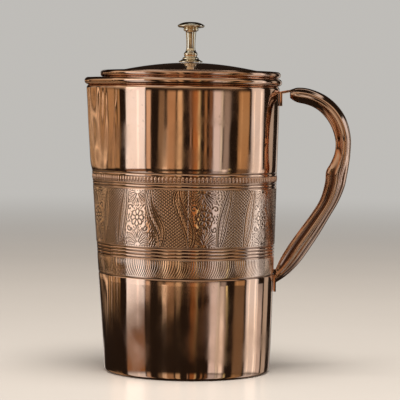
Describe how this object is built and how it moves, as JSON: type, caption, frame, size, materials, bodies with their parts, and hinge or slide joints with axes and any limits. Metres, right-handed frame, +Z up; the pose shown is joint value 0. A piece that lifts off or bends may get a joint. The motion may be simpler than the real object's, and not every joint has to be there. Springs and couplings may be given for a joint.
{
  "type": "copper water jug",
  "caption": "Tapered copper water jug with a pulled pouring lip, wired rim, strap handle and lift-off domed lid with a turned brass knob.",
  "frame": {"origin": "centre of the foot on the jug's axis, on the surface it stands on", "axes": "+Z up along the jug's axis, +X towards the handle, -X towards the pouring lip, +Y to the side"},
  "size_m": [0.1744, 0.1192, 0.2277],
  "materials": {
    "copper_wall": "polished copper sheet with an engraved band",
    "copper_base": "satin copper sheet, lightly tarnished",
    "copper_handle": "polished copper sheet with pressed flutes",
    "copper_lid": "polished copper sheet",
    "brass_knob": "turned and polished pale brass",
    "steel_wire": "plain drawn wire",
    "steel_screw": "nickel-plated steel"
  },
  "bodies": {
    "jug": {"body_wall": "copper_wall", "rim_wire": "steel_wire", "base_disc": "copper_base", "handle": "copper_handle"},
    "lid": {"lid_dome": "copper_lid", "lid_rim_wire": "steel_wire", "lid_collar": "copper_lid", "lid_knob": "brass_knob", "knob_screw": "steel_screw", "knob_washer": "brass_knob"}
  },
  "joints": [
    {"name": "lid_lift", "type": "slide", "parent": "jug", "child": "lid", "axis": [0, 0, 1], "range_m": [0, 0.1]}
  ]
}
